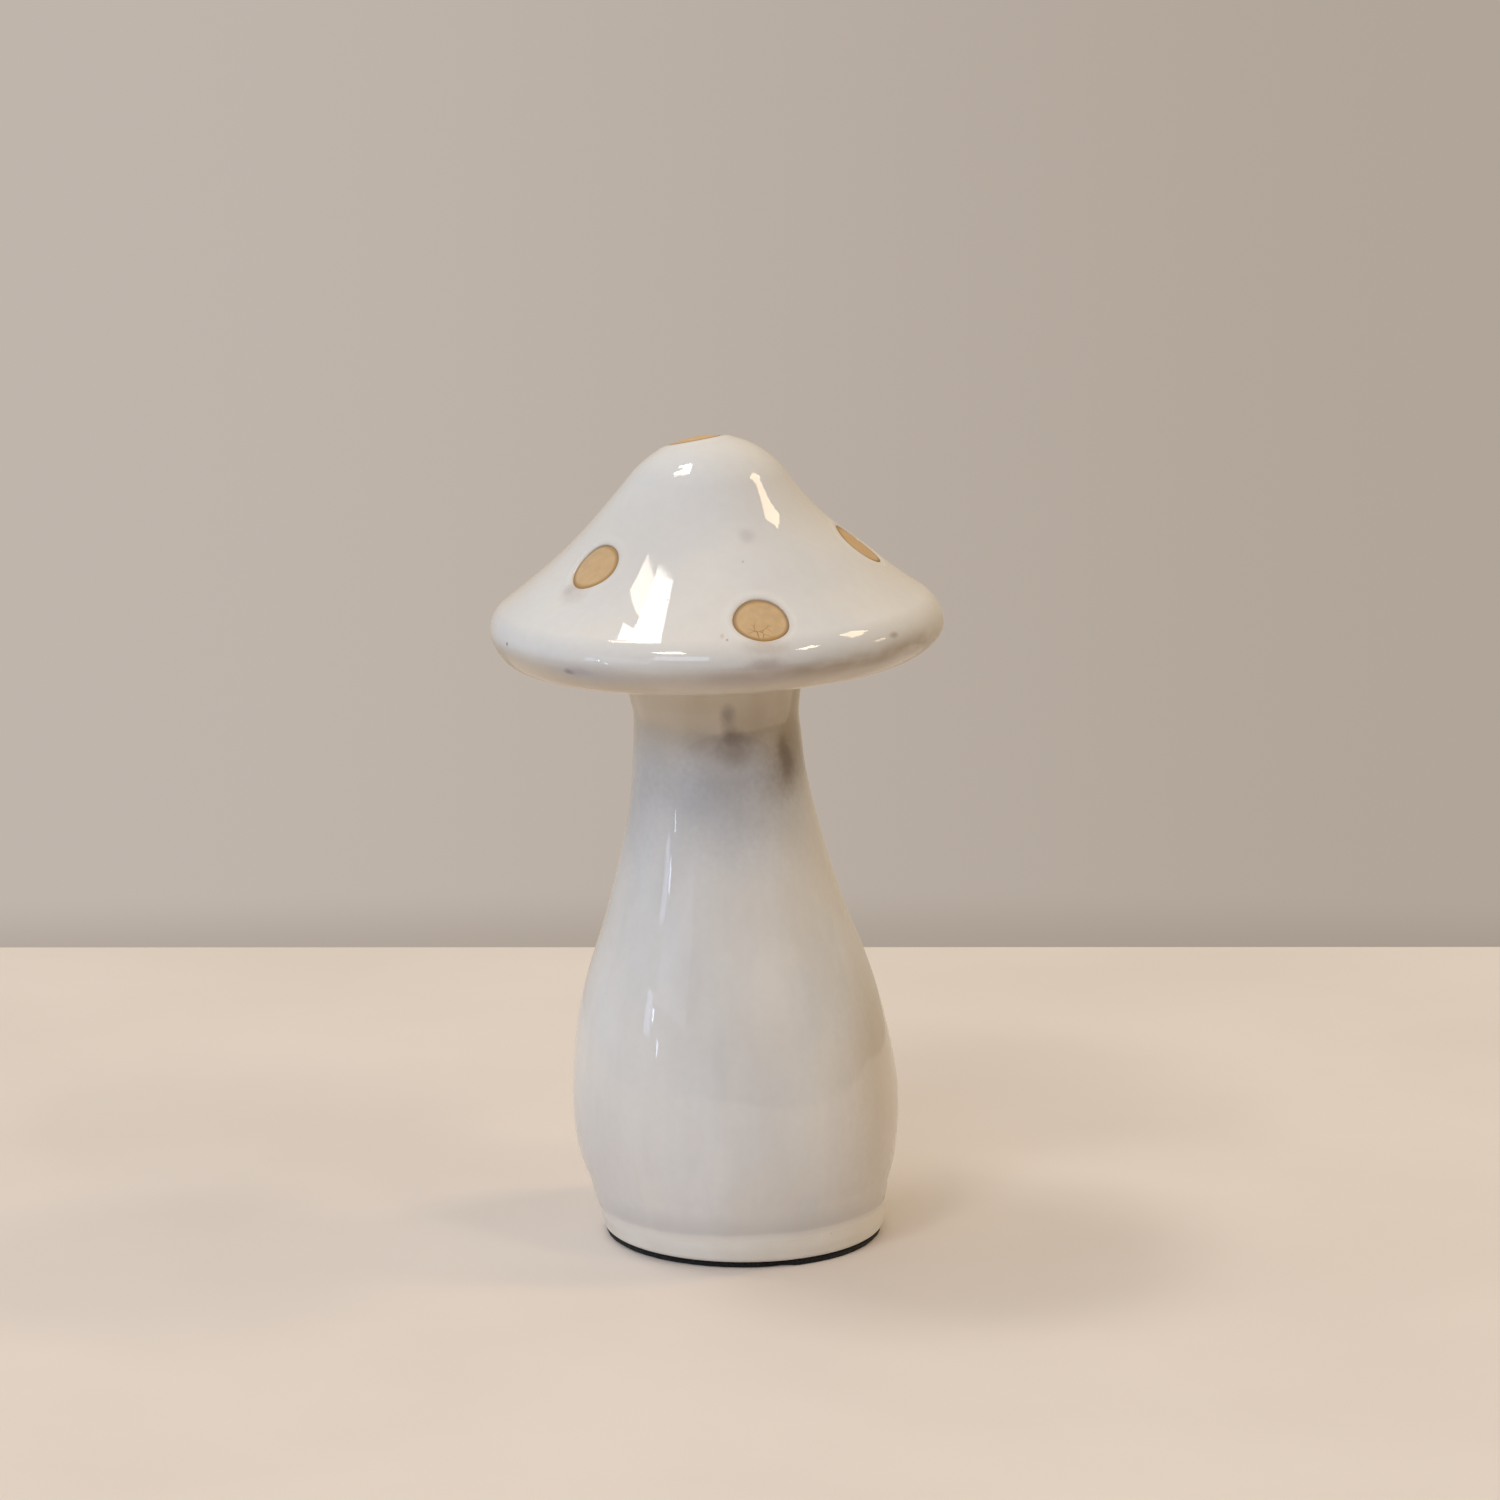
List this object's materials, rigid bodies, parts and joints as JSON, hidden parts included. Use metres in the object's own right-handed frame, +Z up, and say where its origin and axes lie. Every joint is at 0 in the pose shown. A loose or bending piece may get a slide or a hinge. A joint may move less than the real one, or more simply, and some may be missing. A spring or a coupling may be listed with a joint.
{
  "type": "mushroom ornament",
  "caption": "Free-standing ceramic mushroom figure: pointed cap on a bellied stem, glossy white glaze with bare round spots, felt disc under the foot.",
  "frame": {"origin": "middle of the foot, on the surface that the ornament stands on", "axes": "+Z up, -Y to the front (the side with the low front spot), +X to the right seen from the front; the stem leans about 3 degrees towards -X"},
  "size_m": [0.1105, 0.1106, 0.2001],
  "materials": {
    "bare_clay": "matte",
    "white_glaze": "gloss",
    "spot_paint": "matte",
    "black_felt": "matte",
    "clear_glue": "satin"
  },
  "bodies": {
    "root": {"cap_shell": "bare_clay", "neck_slip": "bare_clay", "stem_shell": "bare_clay", "cap_glaze": "white_glaze", "stem_glaze": "white_glaze", "spot_top": "spot_paint", "spot_front": "spot_paint", "spot_left": "spot_paint", "spot_right": "spot_paint", "spot_back_right": "spot_paint", "spot_back": "spot_paint", "spot_back_left": "spot_paint", "felt_pad": "black_felt", "pad_adhesive": "clear_glue"}
  },
  "joints": []
}
